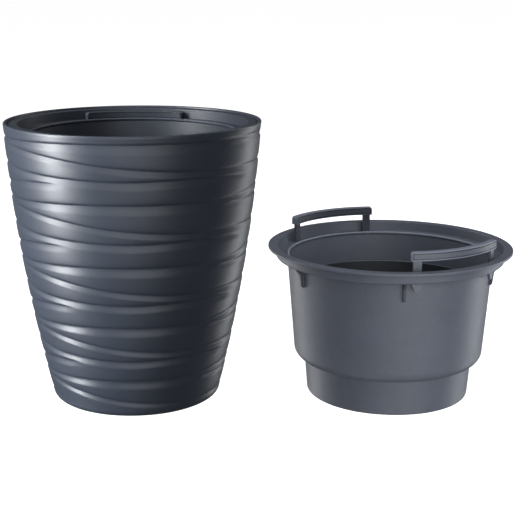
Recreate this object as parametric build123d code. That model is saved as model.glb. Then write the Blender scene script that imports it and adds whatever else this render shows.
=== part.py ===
from build123d import *
import os
from math import cos, degrees, radians, sin

# Self-watering planter: an outer pot with a lift-out insert seated in its rim, and a second,
# identical insert standing beside it with its two lifting handles pulled up.
# Millimetres, +Z up. The origin is the centre of the outer pot's foot, on the floor. +X points
# from the outer pot to the insert standing beside it, and -Y is the front.

# Outer pot
POT_HEIGHT = 329.0
POT_RIM_R = 150.0
POT_MID_R = 131.5  # outside radius at half height, which makes the side barrel outwards
POT_FOOT_R = 98.2  # where the side would meet the floor, before the base edge is rounded
POT_BASE_ROUND = 9.0
POT_WALL = 3.5
POT_FLOOR = 4.0
POT_RIM_WIDTH = 4.5
POT_RIM_ROUND = 1.7
LEDGE_INNER_R = 138.0  # ring inside the rim that the insert's lip rests on
LEDGE_THICK = 4.7
LEDGE_EDGE_ROUND = 0.8
LEDGE_ROOT_ROUND = 4.0
POT_FLOOR_ROUND = 6.0
BASE_NOTCH_WIDTH = 42.0
BASE_NOTCH_DEPTH = 0.8
BASE_NOTCH_INNER_R = 68.0
BASE_NOTCH_AZIMUTHS = (0, 90, 180, 270)

# Insert, heights from its own foot
INSERT_HEIGHT = 179.0
LIP_OUTER_R = 144.4
LIP_INNER_R = 133.4
LIP_THICK = 3.0
CHANNEL_DEPTH = 12.0  # handle channel below the lip's top
CHANNEL_OUTER_R = 132.4  # at the channel's floor
CHANNEL_INNER_R = 122.0
CHANNEL_FLOOR = 2.5
CHANNEL_SKIN = 2.3
BEAD_HEIGHT = 1.4  # rolled edge between the channel and the bowl
BEAD_WIDTH = 4.2
BODY_TOP_R = 121.6  # outside of the bowl's wall under the channel
BODY_LOW_R = 112.3
BODY_LOW_Z = 54.5
CUP_TOP_R = 99.6
CUP_TOP_Z = 42.5
CUP_FOOT_R = 96.0
INSERT_WALL = 2.4
STEP_Z = 131.0  # the bowl's wall is thicker below this level
STEP = 0.7
INSERT_FLOOR = 3.0
SINK = 2.0  # lip's top below the pot's rim when seated

# Rounded edges of the insert, outside first and then inside
CUP_FOOT_ROUND = 3.5
CUP_TOP_ROUND = 1.5
CHANNEL_UNDER_ROUND = 2.5
SKIN_TOP_ROUND = 0.8
LIP_UNDER_ROUND = 0.6
LIP_TOP_ROUND = 1.0
CHANNEL_OUTER_ROUND = 0.9
CHANNEL_INNER_ROUND = 0.6
BEAD_OUTER_ROUND = 0.7
BEAD_INNER_ROUND = 1.4
CUP_INNER_ROUND = 2.5
INSERT_FLOOR_ROUND = 3.0

# Gussets under the channel
GUSSET_THICK = 3.0
GUSSET_HEIGHT = 23.0
GUSSET_TOP_R = 131.8
GUSSET_FOOT_R = 123.4
GUSSET_NECK_DROP = 8.0  # the wide top narrows to the strip over this height
GUSSET_NECK_WIDER = 2.0
GUSSET_FOOT_ROUND = 2.6
GUSSET_ROOT_DEPTH = 1.2  # how far the rib reaches into the bowl's wall
GUSSET_AZIMUTHS = (-93, -31, 35)  # from each handle's middle

# Holes in the insert's floor for wicks and drainage
DRAIN_HOLE_R = 4.0
DRAIN_CIRCLE_R = 62.0
DRAIN_HOLES = 6

# Ring mark in the channel's floor beside the middle of each handle
RING_OUTER_R = 3.4
RING_INNER_R = 2.2
RING_DEPTH = 0.8
RING_AZIMUTH = 9

# Handles
BAR_INNER_R = 122.8
BAR_OUTER_R = 131.0
BAR_HEIGHT = 9.8
BAR_HALF_SPAN = 28.4
BAR_END_ROUND = 3.2  # top corners of the bar's two ends
BAR_EDGE_ROUND = 0.9
BAR_CAVITY_WIDTH = 4.6
BAR_TOP_SKIN = 2.5
PANEL_BORDER = 1.3  # plain edge around the panel on the bar's inner and outer face
PANEL_LINE = 0.9
PANEL_LINE_DEPTH = 0.7
PIP_R = 1.1
PIP_HEIGHT = 0.3
LEG_R = 126.9
LEG_ANGLE = 25.2
LEG_WIDTH = 9.4
LEG_THICK = 3.4
LEG_SLOT_CLEARANCE = 0.6
LEG_SLOT_ROUND = 0.8
BARB_WIDTH = 14.0
BARB_TIP_WIDTH = 4.0
BARB_HEIGHT = 10.0
BARB_GAP = 0.2  # barb to channel underside with the handle fully raised
HANDLE_TRAVEL = 22.7

# Where the inserts stand
SEATED_HANDLE_AZIMUTH = 93.5
SPARE_HANDLE_AZIMUTH = 121.3
SPARE_X = 303.0

LEDGE_Z = POT_HEIGHT - SINK - LIP_THICK
SEATED_Z = POT_HEIGHT - SINK - INSERT_HEIGHT
LIP_UNDER_Z = INSERT_HEIGHT - LIP_THICK
CHANNEL_Z = INSERT_HEIGHT - CHANNEL_DEPTH
CHANNEL_UNDER_Z = CHANNEL_Z - CHANNEL_FLOOR
EPS = 1.0  # how far cutting and joining shapes reach past the face they start from


def revolved(edges, corners):
    """Solid of revolution about Z from a closed (r, z) outline, with listed corners rounded."""
    face = make_face(Curve() + edges)
    for r, z, radius in corners:
        corner = face.vertices().sort_by_distance((r, z, 0))[0]
        face = fillet(corner, radius)
    return revolve(Plane.XZ * face, Axis.Z)


def sector(inner_r, outer_r, low_z, high_z, half_angle):
    """Piece of a ring centred on the +X direction."""
    face = Polyline((inner_r, low_z), (outer_r, low_z), (outer_r, high_z), (inner_r, high_z), close=True)
    solid = revolve(Plane.XZ * make_face(face), Axis.Z, revolution_arc=2 * half_angle)
    return Rot(0, 0, -half_angle) * solid


def pot_inner_radius(z):
    """Inside of the pot's wall, from the parabola through the foot, middle and rim radii."""
    t = z / POT_HEIGHT
    chord = POT_FOOT_R + (POT_RIM_R - POT_FOOT_R) * t
    bulge = POT_MID_R - (POT_FOOT_R + POT_RIM_R) / 2
    return chord + bulge * 4 * t * (1 - t) - POT_WALL


def outer_pot():
    """Tapered round pot with a flat foot and an inner ledge just below the rim."""
    half = POT_HEIGHT / 2
    rim_inner_r = POT_RIM_R - POT_RIM_WIDTH
    ledge_under_z = LEDGE_Z - LEDGE_THICK
    ledge_root_z = ledge_under_z - (rim_inner_r - LEDGE_INNER_R)
    ledge_root_r = pot_inner_radius(ledge_root_z)
    floor_r = pot_inner_radius(POT_FLOOR)
    outside = ThreePointArc((POT_FOOT_R, 0), (POT_MID_R, half), (POT_RIM_R, POT_HEIGHT))
    rim_and_ledge = Polyline(
        (POT_RIM_R, POT_HEIGHT),
        (rim_inner_r, POT_HEIGHT),
        (rim_inner_r, LEDGE_Z),
        (LEDGE_INNER_R, LEDGE_Z),
        (LEDGE_INNER_R, ledge_under_z),
        (ledge_root_r, ledge_root_z),
    )
    inside = ThreePointArc(
        (ledge_root_r, ledge_root_z),
        (pot_inner_radius(half), half),
        (floor_r, POT_FLOOR),
    )
    base = Polyline((floor_r, POT_FLOOR), (0, POT_FLOOR), (0, 0), (POT_FOOT_R, 0))
    corners = [
        (POT_FOOT_R, 0, POT_BASE_ROUND),
        (POT_RIM_R, POT_HEIGHT, POT_RIM_ROUND),
        (rim_inner_r, POT_HEIGHT, POT_RIM_ROUND),
        (LEDGE_INNER_R, LEDGE_Z, LEDGE_EDGE_ROUND),
        (ledge_root_r, ledge_root_z, LEDGE_ROOT_ROUND),
        (floor_r, POT_FLOOR, POT_FLOOR_ROUND),
    ]
    pot = revolved([outside, rim_and_ledge, inside, base], corners)
    notch_length = POT_RIM_R - BASE_NOTCH_INNER_R
    notch = Pos(BASE_NOTCH_INNER_R + notch_length / 2, 0, 0) * Box(
        notch_length, BASE_NOTCH_WIDTH, 2 * BASE_NOTCH_DEPTH
    )
    for azimuth in BASE_NOTCH_AZIMUTHS:
        pot -= Rot(0, 0, azimuth) * notch
    return pot


def insert_shell():
    """Lip, handle channel, rolled bowl edge, tapered bowl, rounded shoulder and smaller cup."""
    taper = (BODY_TOP_R - BODY_LOW_R) / (CHANNEL_UNDER_Z - BODY_LOW_Z)
    inner_top_r = CHANNEL_INNER_R - BEAD_WIDTH
    inner_top_z = CHANNEL_Z + BEAD_HEIGHT
    bowl_top_r = BODY_TOP_R - INSERT_WALL
    step_r = BODY_LOW_R + taper * (STEP_Z - BODY_LOW_Z) - INSERT_WALL
    low_wall = INSERT_WALL + STEP
    low_r = BODY_LOW_R - low_wall
    low_z = BODY_LOW_Z + INSERT_WALL
    cup_r = CUP_TOP_R - INSERT_WALL
    cup_z = CUP_TOP_Z + INSERT_WALL
    floor_r = CUP_FOOT_R - INSERT_WALL
    channel_skin_low_r = CHANNEL_OUTER_R + CHANNEL_SKIN
    channel_skin_top_r = LIP_INNER_R + CHANNEL_SKIN
    foot = Polyline((0, 0), (CUP_FOOT_R, 0), (CUP_TOP_R, CUP_TOP_Z))
    shoulder = TangentArc(
        (BODY_LOW_R, BODY_LOW_Z), (CUP_TOP_R, CUP_TOP_Z), tangent=(-taper, -1)
    )
    outside_and_lip = Polyline(
        (BODY_LOW_R, BODY_LOW_Z),
        (BODY_TOP_R, CHANNEL_UNDER_Z),
        (channel_skin_low_r, CHANNEL_UNDER_Z),
        (channel_skin_top_r, LIP_UNDER_Z),
        (LIP_OUTER_R, LIP_UNDER_Z),
        (LIP_OUTER_R, INSERT_HEIGHT),
        (LIP_INNER_R, INSERT_HEIGHT),
        (CHANNEL_OUTER_R, CHANNEL_Z),
        (CHANNEL_INNER_R, CHANNEL_Z),
        (CHANNEL_INNER_R, inner_top_z),
        (inner_top_r, inner_top_z),
        (bowl_top_r, CHANNEL_UNDER_Z),
        (step_r, STEP_Z),
        (step_r - STEP, STEP_Z - STEP),
        (low_r, low_z),
    )
    inner_shoulder = TangentArc((low_r, low_z), (cup_r, cup_z), tangent=(-taper, -1))
    cup = Polyline((cup_r, cup_z), (floor_r, INSERT_FLOOR), (0, INSERT_FLOOR), (0, 0))
    corners = [
        (CUP_FOOT_R, 0, CUP_FOOT_ROUND),
        (CUP_TOP_R, CUP_TOP_Z, CUP_TOP_ROUND),
        (BODY_TOP_R, CHANNEL_UNDER_Z, CHANNEL_UNDER_ROUND),
        (channel_skin_low_r, CHANNEL_UNDER_Z, CHANNEL_UNDER_ROUND),
        (channel_skin_top_r, LIP_UNDER_Z, SKIN_TOP_ROUND),
        (LIP_OUTER_R, LIP_UNDER_Z, LIP_UNDER_ROUND),
        (LIP_OUTER_R, INSERT_HEIGHT, LIP_TOP_ROUND),
        (LIP_INNER_R, INSERT_HEIGHT, LIP_TOP_ROUND),
        (CHANNEL_OUTER_R, CHANNEL_Z, CHANNEL_OUTER_ROUND),
        (CHANNEL_INNER_R, CHANNEL_Z, CHANNEL_INNER_ROUND),
        (CHANNEL_INNER_R, inner_top_z, BEAD_OUTER_ROUND),
        (inner_top_r, inner_top_z, BEAD_INNER_ROUND),
        (cup_r, cup_z, CUP_INNER_ROUND),
        (floor_r, INSERT_FLOOR, INSERT_FLOOR_ROUND),
    ]
    return revolved([foot, shoulder, outside_and_lip, inner_shoulder, cup], corners)


def gusset():
    """Rib under the channel: wide at the top, then a narrow strip down the bowl's wall."""
    taper = (BODY_TOP_R - BODY_LOW_R) / (CHANNEL_UNDER_Z - BODY_LOW_Z)
    root_top_r = BODY_TOP_R - GUSSET_ROOT_DEPTH
    root_low_r = root_top_r - taper * GUSSET_HEIGHT
    outline = Polyline(
        (root_top_r, CHANNEL_UNDER_Z + EPS),
        (GUSSET_TOP_R, CHANNEL_UNDER_Z + EPS),
        (GUSSET_TOP_R, CHANNEL_UNDER_Z),
        (GUSSET_FOOT_R + GUSSET_NECK_WIDER, CHANNEL_UNDER_Z - GUSSET_NECK_DROP),
        (GUSSET_FOOT_R, CHANNEL_UNDER_Z - GUSSET_HEIGHT),
        (root_low_r, CHANNEL_UNDER_Z - GUSSET_HEIGHT),
        close=True,
    )
    face = make_face(outline)
    foot = face.vertices().sort_by_distance((GUSSET_FOOT_R, CHANNEL_UNDER_Z - GUSSET_HEIGHT, 0))[0]
    face = fillet(foot, GUSSET_FOOT_ROUND)
    return extrude(Plane.XZ * face, GUSSET_THICK / 2, both=True)


def leg_slot():
    """Hole through the channel's floor for one handle leg."""
    height = CHANNEL_FLOOR + 2 * EPS
    slot = Box(
        LEG_THICK + 2 * LEG_SLOT_CLEARANCE,
        LEG_WIDTH + 2 * LEG_SLOT_CLEARANCE,
        height,
    )
    slot = fillet(slot.edges().filter_by(Axis.Z), LEG_SLOT_ROUND)
    return Pos(LEG_R, 0, CHANNEL_Z - CHANNEL_FLOOR / 2) * slot


def ring_mark():
    """Shallow ring groove in the channel's floor."""
    middle_r = (CHANNEL_OUTER_R + CHANNEL_INNER_R) / 2
    ring = Cylinder(RING_OUTER_R, 2 * RING_DEPTH) - Cylinder(RING_INNER_R, 2 * RING_DEPTH)
    return Pos(middle_r, 0, CHANNEL_Z) * ring


def insert():
    """Whole insert, its foot at the origin and its handles' axis along X."""
    body = insert_shell()
    for side in (0, 180):
        for azimuth in GUSSET_AZIMUTHS:
            body += Rot(0, 0, side + azimuth) * gusset()
        for azimuth in (-LEG_ANGLE, LEG_ANGLE):
            body -= Rot(0, 0, side + azimuth) * leg_slot()
        body -= Rot(0, 0, side + RING_AZIMUTH) * ring_mark()
    hole = Cylinder(DRAIN_HOLE_R, 2 * INSERT_FLOOR + 2 * EPS)
    for i in range(DRAIN_HOLES):
        azimuth = radians((i + 0.5) * 360 / DRAIN_HOLES)
        body -= Pos(DRAIN_CIRCLE_R * cos(azimuth), DRAIN_CIRCLE_R * sin(azimuth), 0) * hole
    return body


def handle_leg():
    """Leg at the middle of the +X direction, with its barb, below a bar whose underside is z = 0."""
    barb_top = -(HANDLE_TRAVEL + CHANNEL_FLOOR + BARB_GAP)
    strip_height = BAR_HEIGHT - BAR_TOP_SKIN / 2 - barb_top
    strip = Pos(LEG_R, 0, barb_top + strip_height / 2) * Box(LEG_THICK, LEG_WIDTH, strip_height)
    outline = Polyline(
        (-BARB_WIDTH / 2, barb_top),
        (BARB_WIDTH / 2, barb_top),
        (BARB_TIP_WIDTH / 2, barb_top - BARB_HEIGHT),
        (-BARB_TIP_WIDTH / 2, barb_top - BARB_HEIGHT),
        close=True,
    )
    barb = extrude(Plane.YZ * make_face(outline), LEG_THICK / 2, both=True)
    return strip + Pos(LEG_R, 0, 0) * barb


def panel_outline(face_r, reach):
    """Groove around the panel on one face of the bar, cut from past the face to its depth."""
    border_angle = degrees(PANEL_BORDER / face_r)
    line_angle = degrees(PANEL_LINE / face_r)
    near_r, far_r = sorted((face_r - reach * PANEL_LINE_DEPTH, face_r + reach * EPS))
    outside = sector(
        near_r,
        far_r,
        PANEL_BORDER,
        BAR_HEIGHT - PANEL_BORDER,
        BAR_HALF_SPAN - border_angle,
    )
    inside = sector(
        near_r - EPS,
        far_r + EPS,
        PANEL_BORDER + PANEL_LINE,
        BAR_HEIGHT - PANEL_BORDER - PANEL_LINE,
        BAR_HALF_SPAN - border_angle - line_angle,
    )
    return outside - inside


def handle():
    """Curved bar with two barbed legs, centred on +X, its underside at z = 0."""
    bar = sector(BAR_INNER_R, BAR_OUTER_R, 0, BAR_HEIGHT, BAR_HALF_SPAN)
    end_edges = bar.edges().filter_by(GeomType.LINE).filter_by(Axis.Z, reverse=True)
    bar = fillet(end_edges.group_by(Axis.Z)[-1], BAR_END_ROUND)
    underside = bar.edges().group_by(Axis.Z)[0]
    across = bar.edges().filter_by(GeomType.LINE).filter_by(Axis.Z, reverse=True)
    bar = fillet(bar.edges() - underside - across, BAR_EDGE_ROUND)
    bar -= panel_outline(BAR_OUTER_R, 1)
    bar -= panel_outline(BAR_INNER_R, -1)
    middle_r = (BAR_INNER_R + BAR_OUTER_R) / 2
    cavity_span = LEG_ANGLE - degrees((LEG_WIDTH / 2 + INSERT_WALL) / LEG_R)
    bar -= sector(
        middle_r - BAR_CAVITY_WIDTH / 2,
        middle_r + BAR_CAVITY_WIDTH / 2,
        -EPS,
        BAR_HEIGHT - BAR_TOP_SKIN,
        cavity_span,
    )
    pip = Pos(BAR_OUTER_R - EPS + PIP_HEIGHT / 2, 0, BAR_HEIGHT / 2) * (
        Rot(0, 90, 0) * Cylinder(PIP_R, 2 * EPS + PIP_HEIGHT)
    )
    bar += Rot(0, 0, LEG_ANGLE) * pip
    for azimuth in (-LEG_ANGLE, LEG_ANGLE):
        bar += Rot(0, 0, azimuth) * handle_leg()
    return bar


def place(shape, azimuth, x, z):
    return Pos(x, 0, z) * Rot(0, 0, azimuth) * shape


def write(shape, name):
    export_step(shape, f"parts/{name}.step")


def main():
    os.makedirs("parts", exist_ok=True)
    write(outer_pot(), "outer_pot")
    body = insert()
    grip = handle()
    stowed_z = SEATED_Z + CHANNEL_Z
    raised_z = CHANNEL_Z + HANDLE_TRAVEL
    write(place(body, SEATED_HANDLE_AZIMUTH, 0, SEATED_Z), "insert")
    write(place(grip, SEATED_HANDLE_AZIMUTH, 0, stowed_z), "insert_handle_back")
    write(place(grip, SEATED_HANDLE_AZIMUTH + 180, 0, stowed_z), "insert_handle_front")
    write(place(body, SPARE_HANDLE_AZIMUTH, SPARE_X, 0), "spare_insert")
    write(place(grip, SPARE_HANDLE_AZIMUTH, SPARE_X, raised_z), "spare_handle_left")
    write(place(grip, SPARE_HANDLE_AZIMUTH + 180, SPARE_X, raised_z), "spare_handle_right")


main()
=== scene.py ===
import math

import bpy
import numpy as np
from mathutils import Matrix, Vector


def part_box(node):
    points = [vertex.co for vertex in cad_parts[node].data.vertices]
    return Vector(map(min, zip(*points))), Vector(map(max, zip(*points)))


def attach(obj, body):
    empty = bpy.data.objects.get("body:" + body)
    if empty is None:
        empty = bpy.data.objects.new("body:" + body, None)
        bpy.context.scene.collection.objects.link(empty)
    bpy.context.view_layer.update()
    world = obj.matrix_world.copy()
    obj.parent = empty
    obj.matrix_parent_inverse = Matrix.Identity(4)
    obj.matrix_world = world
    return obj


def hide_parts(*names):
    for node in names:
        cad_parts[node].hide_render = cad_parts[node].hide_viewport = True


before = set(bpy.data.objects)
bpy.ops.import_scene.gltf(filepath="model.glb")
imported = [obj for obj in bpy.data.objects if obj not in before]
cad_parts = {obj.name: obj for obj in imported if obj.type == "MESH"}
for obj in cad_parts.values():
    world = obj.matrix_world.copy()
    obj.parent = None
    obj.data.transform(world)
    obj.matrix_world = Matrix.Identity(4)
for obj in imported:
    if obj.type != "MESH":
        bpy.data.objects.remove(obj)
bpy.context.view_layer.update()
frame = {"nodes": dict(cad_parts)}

MM = 0.001

# Outer pot, as in the CAD source
POT_HEIGHT = 329.0
POT_RIM_R = 150.0
POT_MID_R = 131.5
POT_FOOT_R = 98.2
POT_BASE_ROUND = 9.0
POT_WALL = 3.5
POT_FLOOR = 4.0
RIM_INNER_R = 145.5
RIM_ROUND = 1.7
LEDGE_Z = 324.0
LEDGE_INNER_R = 138.0
LEDGE_THICK = 4.7
LEDGE_ROUND = 0.8
FLOOR_ROUND = 6.0
NOTCH_INNER_R = 68.0
NOTCH_HALF = 21.0
NOTCH_DEPTH = 0.8
NOTCH_AZIMUTHS = (0, 90, 180, 270)

# Fineness of the pot's mesh
COLUMNS = 600
ROW_STEP = 0.7

# The two inserts' handles, and the azimuth of the line through each pair, as in the CAD source
SEATED_HANDLES = ("insert_handle_back", "insert_handle_front")
SPARE_HANDLES = ("spare_handle_left", "spare_handle_right")
SEATED_AZIMUTH = 93.5
SPARE_AZIMUTH = 121.3

# Heights and radii on an insert, in metres above its foot and from its axis. The walls' radii are
# halfway through the wall.
FLOOR_MID_Z = 0.0015
CUP_TOP_Z = 0.0425
BODY_LOW_Z = 0.0545
STEP_Z = 0.1308
BODY_TOP_Z = 0.1645
CUP_FOOT_MID_R = 0.0946
CUP_TOP_MID_R = 0.0983
BODY_LOW_MID_R = 0.11075
BODY_TOP_MID_R = 0.1203
SHOULDER_LOW_Z = 0.0430
SHOULDER_TOP_Z = 0.0525
SHOULDER_RISE = 0.0123
GUSSET_LOW_Z = 0.139
GUSSET_TOP_Z = 0.1642
# (height, radius) just outside the wall, at the gussets' foot and at their top
WALL_LOW = (0.1415, 0.1204)
WALL_TOP = (0.1615, 0.1222)
# from this height on the wall runs out into the rounding under the channel, which is this wide
ROUNDING_Z = 0.1617
ROUNDING_WIDTH = 0.0025
BEAD_R = 0.1198
BEAD_HALF_WIDTH = 0.0017
BEAD_LOW_Z = 0.1677
BEAD_TOP_Z = 0.170

# Handle bars, in metres and degrees
BAR_HEIGHT = 0.0098
BAR_MID_R = 0.127
BAR_HALF_SPAN = 28.4
PANEL_INSET = 0.00175

# Plastics: two linear colours between which the plastic varies, and shares of them for specks, painted
# shade and painted highlights
POT_COLOURS = ((0.0245, 0.0300, 0.0425, 1), (0.0290, 0.0355, 0.0500, 1))
# painted shade: the seated insert and its handles, the same parts as the standing ones, are drawn in a
# darker copy of the pot's colours
SEATED_SHADED_COLOURS = ((0.0200, 0.0245, 0.0350, 1), (0.0240, 0.0295, 0.0415, 1))
INSERT_COLOURS = ((0.066, 0.073, 0.094, 1), (0.078, 0.086, 0.110, 1))
IOR = 1.49
SPECK_SCALE = 1400.0
SPECK_SHARE = 0.45
SPECK_GAIN = 0.45
# painted shade in an insert's bowl below its step
BOWL_SHADE_GAIN = 0.15
# painted shade on the gussets under an insert's channel
GUSSET_SHADE_GAIN = 0.4
# painted highlight: the rolled edge is drawn lighter than the walls
BEAD_HIGHLIGHT_GAIN = 1.9  # the rolled edge catches more light than the walls
# painted highlight on the raised border round the handles' panels
BORDER_HIGHLIGHT_GAIN = 1.6
# painted shade in the grooves of the handles' panels
GROOVE_SHADE_GAIN = 0.25

# Floor, world, light and camera
FLOOR_SIZE = 60.0
FLOOR_X = 0.15
FLOOR_GREY = (0.30, 0.34)
FLOOR_GLOW = 0.96
WORLD_STRENGTH = 0.10
LIGHT_COLOUR = (0.96, 0.98, 1.0)
PHOTO_SIZE = 515.0
SENSOR = 36.0
FOCAL_PIXELS = 1205.2
SHIFT_PIXELS = (20.0, -65.0)
CAMERA_PLACE = (0.1082, -1.4, 0.5015)
CAMERA_TILT = 10.5
CAMERA_TURN = -0.56

# Creases in the pot's side. They repeat every half turn. In each module of height they are given
# as (angle from the left, drop below the module's top line as a share of its height).
MODULE_TOPS = (0.958, 0.751, 0.535, 0.320, 0.123, -0.077)
LEVEL = ((0, 0), (10, 0), (28, -.018), (50, -.06), (70, -.09), (87, -.096), (110, -.09),
         (125, -.075), (138, -.093), (153, -.12), (165, -.135), (180, -.19))
RISE = ((0, -.19), (10, -.24), (25, -.31), (40, -.37), (65, -.42))
BRANCH = ((130, -.04), (150, .01), (165, .015), (180, 0))
FALL = ((20, .07), (30, .096), (40, .118), (55, .17), (67, .225), (80, .28), (92, .32),
        (105, .364), (115, .39), (130, .404), (153, .41), (165, .43), (180, .40))
MAIN = ((0, .40), (10, .40), (25, .43), (40, .47), (55, .49), (75, .518), (92, .53),
        (110, .52), (130, .52), (145, .555), (155, .57))
# Each crease: its line, the angles where it fades in and out, its depth and its width in mm
CREASES = (
    (LEVEL, (-2, -1, 181, 182), ((0, 1.9), (180, 1.9)),
     ((0, 5), (25, 5), (75, 12), (120, 12), (160, 8), (180, 7))),
    (RISE, (-2, -1, 45, 66), ((0, 1.9), (20, 1.5), (66, 1.3)), ((0, 7), (60, 9))),
    (BRANCH, (128, 148, 181, 182), ((128, 1.3), (180, 1.9)), ((128, 7), (180, 5))),
    (FALL, (18, 34, 181, 182), ((18, 1.5), (60, 1.8), (180, 1.9)),
     ((18, 6), (60, 7), (110, 9), (180, 7))),
    (MAIN, (-2, -1, 140, 158), ((0, 1.9), (155, 1.7)), ((0, 7), (50, 8), (92, 10), (155, 7))),
)
# A crease's upper edge: shares and lengths in mm of its short and its long run-out
LIP_SHORT = (0.6, 0.7)
LIP_LONG = (0.4, 4.5)
# The top module's level creases stay this close to the module's top line, so that they clear the rim
TOP_LIMIT = 0.1
TOP_SHARE = 0.7
# Softening of the creases' lines: half the window and the spread, in steps of half a degree
SOFT_WINDOW = 24
SOFT_SPREAD = 9.0


# ---------- pot mesh ----------

def circle_through(a, b, c):
    """Centre and radius of the circle through three (r, z) points."""
    (ax, ay), (bx, by), (cx, cy) = a, b, c
    d = 2 * (ax * (by - cy) + bx * (cy - ay) + cx * (ay - by))
    a2, b2, c2 = ax * ax + ay * ay, bx * bx + by * by, cx * cx + cy * cy
    ux = (a2 * (by - cy) + b2 * (cy - ay) + c2 * (ay - by)) / d
    uy = (a2 * (cx - bx) + b2 * (ax - cx) + c2 * (bx - ax)) / d
    return (ux, uy), math.hypot(ax - ux, ay - uy)


def arc_r(circle, z):
    """Radius from the axis of the circle's right side at the height z."""
    (cx, cy), radius = circle
    return cx + np.sqrt(radius * radius - (z - cy) ** 2)


def round_into(circle, z, size, upward):
    """Points of the rounded corner between the level z and the side arc, from the level to the arc."""
    (cx, cy), radius = circle
    mid_z = z - size if upward else z + size
    mid_r = cx + math.sqrt((radius - size) ** 2 - (mid_z - cy) ** 2)
    end = math.atan2(mid_z - cy, mid_r - cx)
    start = math.pi / 2 if upward else -math.pi / 2
    steps = np.linspace(start, end, 9)
    return [(mid_r + size * math.cos(t), mid_z + size * math.sin(t)) for t in steps]


def corner(mid_r, mid_z, size, start, end, count=7):
    """Points of a rounded corner from the angle start to the angle end."""
    steps = np.radians(np.linspace(start, end, count))
    return [(mid_r + size * math.cos(t), mid_z + size * math.sin(t)) for t in steps]


def smooth_line(points, angles):
    """Values at angles on a softened curve through points."""
    xs = np.array([p[0] for p in points], float)
    ys = np.array([p[1] for p in points], float)
    grid = np.arange(-30.0, 211.0, 0.5)
    values = np.interp(grid, xs, ys)
    low = (ys[1] - ys[0]) / (xs[1] - xs[0])
    high = (ys[-1] - ys[-2]) / (xs[-1] - xs[-2])
    values = np.where(grid < xs[0], ys[0] + low * (grid - xs[0]), values)
    values = np.where(grid > xs[-1], ys[-1] + high * (grid - xs[-1]), values)
    kernel = np.exp(-0.5 * (np.arange(-SOFT_WINDOW, SOFT_WINDOW + 1) / SOFT_SPREAD) ** 2)
    kernel /= kernel.sum()
    padded = np.pad(values, SOFT_WINDOW, "edge")
    return np.interp(angles, grid, np.convolve(padded, kernel, "valid"))


def smoothstep(low, high, x):
    """0 up to low, 1 from high on, and a smooth rise between them."""
    t = np.clip((x - low) / (high - low), 0, 1)
    return t * t * (3 - 2 * t)


def relief(azimuths, heights):
    """Depth of the creases in mm on the grid heights x azimuths."""
    a = np.mod(azimuths - 180.0, 180.0)[None, :]
    z = heights[:, None]
    depth = np.zeros((len(heights), len(azimuths)))
    for points, fade, strengths, widths in CREASES:
        line = smooth_line(points, a)
        strength = np.interp(a, [p[0] for p in strengths], [p[1] for p in strengths])
        strength = strength * smoothstep(*fade[:2], a) * (1 - smoothstep(*fade[2:], a))
        width = np.interp(a, [p[0] for p in widths], [p[1] for p in widths])
        for k, top in enumerate(MODULE_TOPS):
            if points is RISE and k == 0:
                continue
            if k + 1 < len(MODULE_TOPS):
                pitch = top - MODULE_TOPS[k + 1]
            else:
                pitch = MODULE_TOPS[k - 1] - top
            above = MODULE_TOPS[k - 1] - top if k else pitch
            if points in (LEVEL, BRANCH) and k == 0:
                share = np.clip(line, -TOP_LIMIT, TOP_LIMIT) * TOP_SHARE * pitch
            else:
                share = np.where(line < 0, line * above, line * pitch)
            drop = (top - share) * POT_HEIGHT - z
            below = 1 - smoothstep(0.1 * width, width, drop)
            over = np.minimum(drop, 0)
            lip = sum(part * np.exp(over / length) for part, length in (LIP_SHORT, LIP_LONG))
            depth = np.maximum(depth, strength * np.where(drop >= 0, below, lip))
    return depth


def pot_profile():
    """Outline of the pot from the middle of its underside round to the middle of its floor, and
    the first and last of its rows that carry the creases."""
    half = POT_HEIGHT / 2
    side = circle_through((POT_FOOT_R, 0), (POT_MID_R, half), (POT_RIM_R, POT_HEIGHT))
    base = round_into(side, 0.0, POT_BASE_ROUND, False)
    rim = round_into(side, POT_HEIGHT, RIM_ROUND, True)[::-1]
    low, high = base[-1][1], rim[0][1]
    count = int((high - low) / ROW_STEP)
    wall = [(float(arc_r(side, z)), z) for z in np.linspace(low, high, count + 1)[1:-1]]

    inner = [(arc_r(side, z) - POT_WALL, z) for z in (POT_FLOOR, half)]
    under_z = LEDGE_Z - LEDGE_THICK
    root_z = under_z - (RIM_INNER_R - LEDGE_INNER_R)
    root_r = float(arc_r(side, root_z)) - POT_WALL
    inner_arc = circle_through(inner[0], inner[1], (root_r, root_z))
    floor_round = round_into(inner_arc, POT_FLOOR, FLOOR_ROUND, False)
    inside_z = np.linspace(root_z - 2.0, floor_round[-1][1], 60)[:-1]
    inside = [(float(arc_r(inner_arc, z)), z) for z in inside_z]

    under = [(r, 0.0) for r in (30.0, 60.0, NOTCH_INNER_R - 0.1, NOTCH_INNER_R + 0.1, 80.0)]
    top = corner(RIM_INNER_R + RIM_ROUND, POT_HEIGHT - RIM_ROUND, RIM_ROUND, 90, 180)
    ledge = [(RIM_INNER_R, LEDGE_Z + 0.4), (RIM_INNER_R - 0.12, LEDGE_Z + 0.12)]
    ledge += [(RIM_INNER_R - 0.4, LEDGE_Z)]
    ledge += corner(LEDGE_INNER_R + LEDGE_ROUND, LEDGE_Z - LEDGE_ROUND, LEDGE_ROUND, 90, 180, 5)
    ledge += [(LEDGE_INNER_R, under_z + 0.3), (LEDGE_INNER_R + 0.2, under_z - 0.2)]
    ledge += [(root_r - 1.6, root_z + 1.4), (root_r - 0.5, root_z - 0.4)]
    middle = [(60.0, POT_FLOOR), (30.0, POT_FLOOR)]
    points = under + base + wall + rim + top + ledge + inside + floor_round[::-1] + middle
    first = len(under) + len(base)
    return np.array(points), first, first + len(wall)


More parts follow.
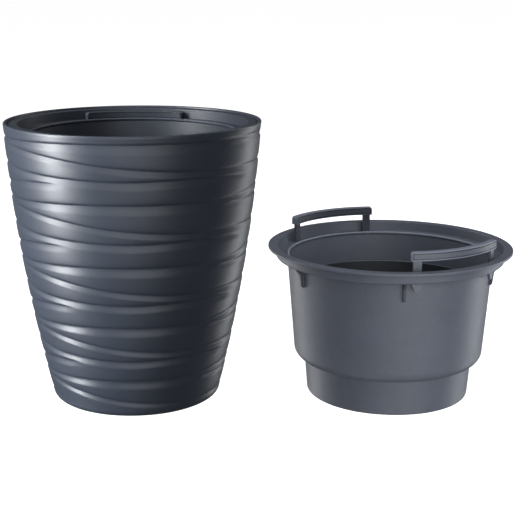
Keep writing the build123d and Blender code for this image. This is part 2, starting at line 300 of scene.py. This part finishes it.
def notch_heights(r, z, azimuths):
    """Heights of the grid of points with the foot's four notches cut in."""
    for middle in NOTCH_AZIMUTHS:
        off = np.radians((azimuths - middle + 180) % 360 - 180)
        inside = (np.abs(off) < 1.0) & (np.abs(r * np.sin(off)) < NOTCH_HALF)
        z = np.where(inside & (r > NOTCH_INNER_R) & (z < NOTCH_DEPTH), NOTCH_DEPTH, z)
    return z


def revolve_mesh(name, points, azimuths, first, last, depth):
    """Mesh of the outline turned about Z, in metres. The rows first to last go in by depth mm."""
    rows, columns = len(points), len(azimuths)
    r = np.repeat(points[:, 0][:, None], columns, axis=1)
    z = np.repeat(points[:, 1][:, None], columns, axis=1)
    r[first:last] -= depth
    z = notch_heights(r, z, azimuths)
    angle = np.radians(azimuths)
    grid = np.stack([r * np.cos(angle), r * np.sin(angle), z], axis=2).reshape(-1, 3)
    ends = np.array([[0, 0, points[0, 1]], [0, 0, points[-1, 1]]])
    vertices = np.concatenate([grid, ends]) * MM
    index = np.arange(rows * columns).reshape(rows, columns)
    right = np.roll(index, -1, axis=1)
    quads = np.stack([index[:-1], right[:-1], right[1:], index[1:]], axis=2).reshape(-1, 4)
    bottom, top = rows * columns, rows * columns + 1
    low_fan = np.stack([np.full(columns, bottom), right[0], index[0]], axis=1)
    high_fan = np.stack([np.full(columns, top), index[-1], right[-1]], axis=1)
    triangles = np.concatenate([low_fan, high_fan])
    mesh = bpy.data.meshes.new(name)
    mesh.vertices.add(len(vertices))
    mesh.vertices.foreach_set("co", vertices.ravel())
    loops = np.concatenate([quads.ravel(), triangles.ravel()])
    mesh.loops.add(len(loops))
    mesh.loops.foreach_set("vertex_index", loops)
    quad_starts = np.arange(len(quads)) * 4
    triangle_starts = len(quads) * 4 + np.arange(len(triangles)) * 3
    starts = np.concatenate([quad_starts, triangle_starts])
    mesh.polygons.add(len(starts))
    mesh.polygons.foreach_set("loop_start", starts)
    mesh.polygons.foreach_set("use_smooth", np.ones(len(starts), bool))
    mesh.update(calc_edges=True)
    mesh.validate()
    obj = bpy.data.objects.new(name, mesh)
    bpy.context.scene.collection.objects.link(obj)
    return obj


def make_pot():
    """The outer pot with its creased side, which fades to plain at the foot and below the rim."""
    points, first, last = pot_profile()
    azimuths = np.arange(COLUMNS) * (360.0 / COLUMNS)
    heights = points[first:last, 1]
    depth = relief(azimuths, heights)
    ends = smoothstep(6, 20, heights) * (1 - smoothstep(POT_HEIGHT - 5, POT_HEIGHT - 3, heights))
    return revolve_mesh("pot_creased", points, azimuths, first, last, depth * ends[:, None])


# ---------- materials ----------

def set_inputs(node, **values):
    """Set a node's inputs by name, with _ for a space."""
    for key, value in values.items():
        node.inputs[key.replace("_", " ")].default_value = value


class Graph:
    """Short names for building a node tree."""

    def __init__(self, name):
        self.material = bpy.data.materials.new(name)
        self.material.use_nodes = True
        self.tree = self.material.node_tree
        self.nodes = self.tree.nodes
        self.shader = self.nodes["Principled BSDF"]
        self.coords = self.nodes.new("ShaderNodeTexCoord").outputs["Object"]

    def link(self, source, target):
        self.tree.links.new(source, target)

    def noise(self, scale, detail, roughness):
        node = self.nodes.new("ShaderNodeTexNoise")
        set_inputs(node, Scale=scale, Detail=detail, Roughness=roughness)
        self.link(self.coords, node.inputs["Vector"])
        return node.outputs["Fac"]

    def mapped(self, value, from_min, from_max, to_min, to_max):
        node = self.nodes.new("ShaderNodeMapRange")
        set_inputs(node, From_Min=from_min, From_Max=from_max, To_Min=to_min, To_Max=to_max)
        self.link(value, node.inputs["Value"])
        return node.outputs["Result"]

    def math(self, operation, a, b=None):
        node = self.nodes.new("ShaderNodeMath")
        node.operation = operation
        for i, value in enumerate((a, b)):
            if value is None:
                continue
            if isinstance(value, (int, float)):
                node.inputs[i].default_value = value
            else:
                self.link(value, node.inputs[i])
        return node.outputs[0]

    def mix(self, factor, a, b):
        node = self.nodes.new("ShaderNodeMix")
        node.data_type = "RGBA"
        for socket, value in ((node.inputs[0], factor), (node.inputs[6], a), (node.inputs[7], b)):
            if isinstance(value, (tuple, float, int)):
                socket.default_value = value
            else:
                self.link(value, socket)
        return node.outputs[2]

    def bump(self, height, strength, distance, normal=None):
        node = self.nodes.new("ShaderNodeBump")
        set_inputs(node, Strength=strength, Distance=distance)
        self.link(height, node.inputs["Height"])
        if normal is not None:
            self.link(normal, node.inputs["Normal"])
        return node.outputs["Normal"]


def gain(colour, factor):
    """A lighter or darker shade of a colour."""
    return tuple(c * factor for c in colour[:3]) + (1.0,)


def all_of(g, *masks):
    """1 where every mask is 1, 0 elsewhere."""
    product = masks[0]
    for mask in masks[1:]:
        product = g.math("MULTIPLY", product, mask)
    return product


def foot_of(node):
    """Centre of an insert's foot."""
    lowest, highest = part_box(node)
    return (lowest.x + highest.x) / 2, (lowest.y + highest.y) / 2, lowest.z


def bars_of(node, handle, azimuth):
    """Place of an insert's two bars: its axis, their azimuth and the height of their underside."""
    return *foot_of(node)[:2], azimuth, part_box(handle)[1].z - BAR_HEIGHT


def insert_place(g, x, y, z0):
    """Radius from the axis and height above the foot of the insert that stands at (x, y, z0)."""
    split = g.nodes.new("ShaderNodeSeparateXYZ")
    g.link(g.coords, split.inputs[0])
    dx = g.math("SUBTRACT", split.outputs[0], x)
    dy = g.math("SUBTRACT", split.outputs[1], y)
    radius = g.math("SQRT", g.math("ADD", g.math("MULTIPLY", dx, dx), g.math("MULTIPLY", dy, dy)))
    return radius, g.math("SUBTRACT", split.outputs[2], z0)


def bowl_shade_mask(g, x, y, z0):
    """1 on the inside of an insert below its step, where painted shade darkens the bowl, 0 elsewhere.
    (x, y, z0) is the insert's foot.
    """
    radius, height = insert_place(g, x, y, z0)
    body = g.mapped(height, BODY_LOW_Z, BODY_TOP_Z, BODY_LOW_MID_R, BODY_TOP_MID_R)
    cup = g.mapped(height, FLOOR_MID_Z, CUP_TOP_Z, CUP_FOOT_MID_R, CUP_TOP_MID_R)
    cup = g.math("ADD", cup, g.mapped(height, SHOULDER_LOW_Z, SHOULDER_TOP_Z, 0.0, SHOULDER_RISE))
    # above the shoulder the cup sets no limit
    cup = g.math("ADD", cup, g.math("GREATER_THAN", height, SHOULDER_TOP_Z))
    inside = g.math("LESS_THAN", radius, g.math("MINIMUM", body, cup))
    below_step = g.math("LESS_THAN", height, STEP_Z)
    above_floor = g.math("GREATER_THAN", height, FLOOR_MID_Z)
    return all_of(g, inside, below_step, above_floor)


def gusset_shade_mask(g, x, y, z0):
    """1 on the gussets under the channel of an insert whose foot is (x, y, z0), where painted shade
    darkens them, 0 elsewhere.
    """
    radius, height = insert_place(g, x, y, z0)
    wall = g.mapped(height, WALL_LOW[0], WALL_TOP[0], WALL_LOW[1], WALL_TOP[1])
    rounding = g.math("MULTIPLY", g.math("GREATER_THAN", height, ROUNDING_Z), ROUNDING_WIDTH)
    wall = g.math("ADD", wall, rounding)
    outside = g.math("GREATER_THAN", radius, wall)
    above = g.math("GREATER_THAN", height, GUSSET_LOW_Z)
    below = g.math("LESS_THAN", height, GUSSET_TOP_Z)
    return all_of(g, outside, above, below)


def bead_highlight_mask(g, x, y, z0):
    """1 on the rolled edge between the channel and the bowl of the insert whose foot is (x, y, z0),
    where a painted highlight lightens it.
    """
    radius, height = insert_place(g, x, y, z0)
    off_ring = g.math("ABSOLUTE", g.math("SUBTRACT", radius, BEAD_R))
    on_ring = g.math("LESS_THAN", off_ring, BEAD_HALF_WIDTH)
    above = g.math("GREATER_THAN", height, BEAD_LOW_Z)
    below = g.math("LESS_THAN", height, BEAD_TOP_Z)
    return all_of(g, on_ring, above, below)


def panel_masks(g, x, y, azimuth, z0):
    """Masks for the painted shade in the panel's groove and for the painted highlight on the raised
    border round it, on both bars of an insert whose handles' axis is at azimuth through (x, y). z0 is
    the height of the bars' underside."""
    split = g.nodes.new("ShaderNodeSeparateXYZ")
    g.link(g.coords, split.inputs[0])
    dx = g.math("SUBTRACT", split.outputs[0], x)
    dy = g.math("SUBTRACT", split.outputs[1], y)
    c, s = math.cos(math.radians(azimuth)), math.sin(math.radians(azimuth))
    along = g.math("ADD", g.math("MULTIPLY", dx, c), g.math("MULTIPLY", dy, s))
    across = g.math("SUBTRACT", g.math("MULTIPLY", dy, c), g.math("MULTIPLY", dx, s))
    turn = g.math("ABSOLUTE", g.math("ARCTAN2", across, g.math("ABSOLUTE", along)))
    panel_end = math.radians(BAR_HALF_SPAN) * BAR_MID_R - PANEL_INSET
    past_end = g.math("SUBTRACT", g.math("MULTIPLY", turn, BAR_MID_R), panel_end)
    height = g.math("SUBTRACT", split.outputs[2], z0 + BAR_HEIGHT / 2)
    past_side = g.math("SUBTRACT", g.math("ABSOLUTE", height), BAR_HEIGHT / 2 - PANEL_INSET)
    edge = g.math("MAXIMUM", past_end, past_side)
    groove = g.mapped(g.math("ABSOLUTE", edge), 0.00035, 0.0006, 1.0, 0.0)
    on_bar = g.math("GREATER_THAN", height, -BAR_HEIGHT / 2 - 0.0001)
    border = g.math("MULTIPLY", g.mapped(edge, 0.0005, 0.0009, 0.0, 1.0), on_bar)
    return g.math("MULTIPLY", groove, on_bar), border


def plastic(name, colours, rough, grain_scale, grain_depth, bowl=None, panels=None, border_highlight_gain=1.0):
    """Moulded plastic with a fine grain, faint cloudiness and slightly uneven gloss. bowl is the foot
    of an insert, with painted shade in its bowl below the step and on its gussets and a painted
    highlight on its rolled edge; panels places an insert's two handles, with painted shade in their
    grooves and a painted highlight on their borders."""
    g = Graph(name)
    dark, light = colours
    cloud = g.noise(14.0, 3.0, 0.55)
    streak = g.noise(60.0, 2.0, 0.5)
    tone = g.math("ADD", g.math("MULTIPLY", cloud, 0.7), g.math("MULTIPLY", streak, 0.3))
    colour = g.mix(g.mapped(tone, 0.35, 0.65, 0.0, 1.0), dark, light)
    speck = g.noise(SPECK_SCALE, 1.0, 0.5)
    colour = g.mix(g.mapped(speck, 0.35, 0.65, 0.0, SPECK_SHARE), colour, gain(dark, SPECK_GAIN))
    rough_out = g.mapped(g.noise(9.0, 4.0, 0.6), 0.3, 0.7, rough - 0.03, rough + 0.03)
    if bowl is not None:
        # painted shade: the bowl below the step is drawn almost black
        colour = g.mix(bowl_shade_mask(g, *bowl), colour, gain(dark, BOWL_SHADE_GAIN))
        # painted shade: the gussets under the channel are drawn darker
        colour = g.mix(gusset_shade_mask(g, *bowl), colour, gain(dark, GUSSET_SHADE_GAIN))
        # painted highlight along the rolled edge
        colour = g.mix(bead_highlight_mask(g, *bowl), colour, gain(light, BEAD_HIGHLIGHT_GAIN))
    if panels is not None:
        groove, border = panel_masks(g, *panels)
        # painted highlight on the panel's raised border
        colour = g.mix(border, colour, gain(light, border_highlight_gain))
        # painted shade in the panel's groove
        colour = g.mix(groove, colour, gain(dark, GROOVE_SHADE_GAIN))
    g.link(colour, g.shader.inputs["Base Color"])
    g.link(rough_out, g.shader.inputs["Roughness"])
    grain = g.bump(g.noise(grain_scale, 2.0, 0.6), 0.35, grain_depth)
    uneven = g.bump(g.noise(35.0, 2.0, 0.5), 0.12, 0.0006, grain)
    g.link(uneven, g.shader.inputs["Normal"])
    set_inputs(g.shader, IOR=IOR, Specular_IOR_Level=0.5)
    return g.material


def paint(obj, material):
    """Give an object one material."""
    obj.data.materials.clear()
    obj.data.materials.append(material)


pot = make_pot()
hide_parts("outer_pot")
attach(pot, "pot")
paint(pot, plastic("pot_plastic", POT_COLOURS, 0.40, 900.0, 0.00008))

nodes = frame["nodes"]
seated_foot = foot_of("insert")
spare_foot = foot_of("spare_insert")
seated_bars = bars_of("insert", SEATED_HANDLES[0], SEATED_AZIMUTH)
spare_bars = bars_of("spare_insert", SPARE_HANDLES[0], SPARE_AZIMUTH)
# painted shade: the seated insert and its handles take the darker seated colours
seated_body = plastic("insert_seated_plastic", SEATED_SHADED_COLOURS, 0.50, 1100.0, 0.0001, bowl=seated_foot)
spare_body = plastic("insert_plastic", INSERT_COLOURS, 0.50, 1100.0, 0.00015, bowl=spare_foot)
seated_grip = plastic("handle_seated_plastic", SEATED_SHADED_COLOURS, 0.48, 1100.0, 0.0001, panels=seated_bars)
spare_grip = plastic("handle_plastic", INSERT_COLOURS, 0.48, 1100.0, 0.00015, panels=spare_bars,
                     border_highlight_gain=BORDER_HIGHLIGHT_GAIN)
paint(nodes["insert"], seated_body)
paint(nodes["spare_insert"], spare_body)
for name in SEATED_HANDLES:
    paint(nodes[name], seated_grip)
for name in SPARE_HANDLES:
    paint(nodes[name], spare_grip)


# ---------- floor, light and camera ----------

def make_floor():
    """Pale floor: almost evenly white to the camera, and a darker grey in the object's reflections."""
    bpy.ops.mesh.primitive_plane_add(size=FLOOR_SIZE, location=(FLOOR_X, 0, 0))
    floor = bpy.context.object
    floor.name = "floor"
    g = Graph("floor_white")
    shade = g.mapped(g.noise(1.5, 3.0, 0.5), 0.3, 0.7, *FLOOR_GREY)
    pale = g.mix(shade, (0.0, 0.0, 0.0, 1), (1.0, 1.0, 1.0, 1))
    g.link(pale, g.shader.inputs["Base Color"])
    set_inputs(g.shader, Roughness=1.0, Specular_IOR_Level=0.0, Emission_Color=(1, 1, 1, 1))
    path = g.nodes.new("ShaderNodeLightPath")
    glow = g.math("MULTIPLY", path.outputs["Is Camera Ray"], FLOOR_GLOW)
    g.link(glow, g.shader.inputs["Emission Strength"])
    paint(floor, g.material)
    # the light passes the floor, as it would round an object on a glass table
    floor.visible_diffuse = False
    floor.visible_glossy = False
    floor.visible_shadow = False
    return floor


def softbox(name, centre, aim, size, radiance, lit, shading=None):
    """Rectangular light turned to its aim point, as bright as radiance says. It falls on the pieces
    in lit. The pieces in shading, or else those in lit, throw shadows in it."""
    light = bpy.data.lights.new(name, "AREA")
    light.shape = "RECTANGLE"
    light.size, light.size_y = size
    light.energy = radiance * math.pi * size[0] * size[1]
    light.color = LIGHT_COLOUR
    obj = bpy.data.objects.new(name, light)
    bpy.context.scene.collection.objects.link(obj)
    obj.location = centre
    obj.rotation_euler = (Vector(aim) - obj.location).to_track_quat("-Z", "Y").to_euler()
    obj.light_linking.receiver_collection = lit
    obj.light_linking.blocker_collection = lit if shading is None else shading


def standing_softbox(name, about_x, azimuth, distance, low, high, width, radiance, lit, shading=None):
    """Upright softbox from the height low to high that faces the vertical line at (about_x, 0)."""
    t = math.radians(azimuth)
    middle = (low + high) / 2
    centre = (about_x + distance * math.cos(t), distance * math.sin(t), middle)
    softbox(name, centre, (about_x, 0.0, middle), (width, high - low), radiance, lit, shading)


def light_set(name, objects):
    """Collection of pieces for the lights that fall on them or that they shade."""
    group = bpy.data.collections.new(name)
    for obj in objects:
        group.objects.link(obj)
    return group


def make_world():
    """Faint even light from all round, which the camera sees as plain white."""
    world = bpy.data.worlds.new("studio")
    bpy.context.scene.world = world
    world.use_nodes = True
    nodes = world.node_tree.nodes
    links = world.node_tree.links
    light = nodes["Background"]
    light.inputs["Color"].default_value = (0.93, 0.96, 1.0, 1)
    light.inputs["Strength"].default_value = WORLD_STRENGTH
    seen = nodes.new("ShaderNodeBackground")
    seen.inputs["Color"].default_value = (1, 1, 1, 1)
    seen.inputs["Strength"].default_value = 1.0
    path = nodes.new("ShaderNodeLightPath")
    mix = nodes.new("ShaderNodeMixShader")
    links.new(path.outputs["Is Camera Ray"], mix.inputs["Fac"])
    links.new(light.outputs[0], mix.inputs[1])
    links.new(seen.outputs[0], mix.inputs[2])
    links.new(mix.outputs[0], nodes["World Output"].inputs["Surface"])


def make_camera():
    """Camera fitted to the rims, feet and side outlines in the photograph."""
    data = bpy.data.cameras.new("camera")
    data.sensor_fit = "HORIZONTAL"
    data.sensor_width = SENSOR
    data.lens = FOCAL_PIXELS * SENSOR / PHOTO_SIZE
    data.shift_x, data.shift_y = (pixels / PHOTO_SIZE for pixels in SHIFT_PIXELS)
    data.clip_end = 50.0
    camera = bpy.data.objects.new("camera", data)
    bpy.context.scene.collection.objects.link(camera)
    camera.location = CAMERA_PLACE
    camera.rotation_euler = (math.radians(90 - CAMERA_TILT), 0, math.radians(CAMERA_TURN))
    bpy.context.scene.camera = camera


floor = make_floor()
make_world()
seated_nodes = [nodes[name] for name in ("insert", *SEATED_HANDLES)]
spare_nodes = [nodes[name] for name in ("spare_insert", *SPARE_HANDLES)]
pot_set = light_set("lit_pot", [pot, floor] + seated_nodes)
spare_set = light_set("lit_spare", [floor] + spare_nodes)
front_set = light_set("lit_spare_front", [floor, nodes["spare_insert"], nodes["spare_handle_right"]])
back_bar_set = light_set("lit_back_bar", [nodes["spare_handle_left"]])
# Upright softboxes: the x they face, azimuth, distance, low and high edge, width, radiance
standing_softbox("strip_left", 0.0, 201.0, 1.9, -0.55, 2.2, 0.46, 44.0, pot_set)
standing_softbox("rim_back_right", 0.0, 38, 1.7, -0.9, 1.8, 0.4, 4.2, pot_set)
standing_softbox("fill_front", 0.0, 279, 2.8, -1.0, 2.4, 2.6, 1.85, pot_set)
softbox("top", (0.0, -0.3, 2.4), (0.0, 0.0, 0.2), (1.6, 1.2), 1.9, pot_set)
standing_softbox("spare_front", 0.3, 290, 2.5, -1.0, 2.4, 3.2, 3.1, front_set, spare_set)
standing_softbox("spare_back_bar", 0.3, 285, 2.5, -1.0, 2.4, 3.2, 1.1, back_bar_set, spare_set)
standing_softbox("spare_left", 0.3, 172, 2.2, -1.2, 2.0, 0.9, 1.5, spare_set)
standing_softbox("spare_back_left", 0.3, 142, 1.8, -1.2, 1.8, 0.6, 4.8, spare_set)
standing_softbox("spare_back_right", 0.3, 22, 1.8, -1.2, 1.8, 0.6, 4.6, spare_set)
softbox("spare_top", (0.2, -0.5, 2.2), (0.3, 0.0, 0.2), (1.6, 1.4), 3.8, spare_set)
softbox("spare_bounce", (0.3, -0.7, -1.3), (0.3, 0.0, 0.1), (2.0, 1.2), 1.0, spare_set)
make_camera()
scene = bpy.context.scene
scene.view_settings.view_transform = "Standard"
scene.view_settings.look = "None"
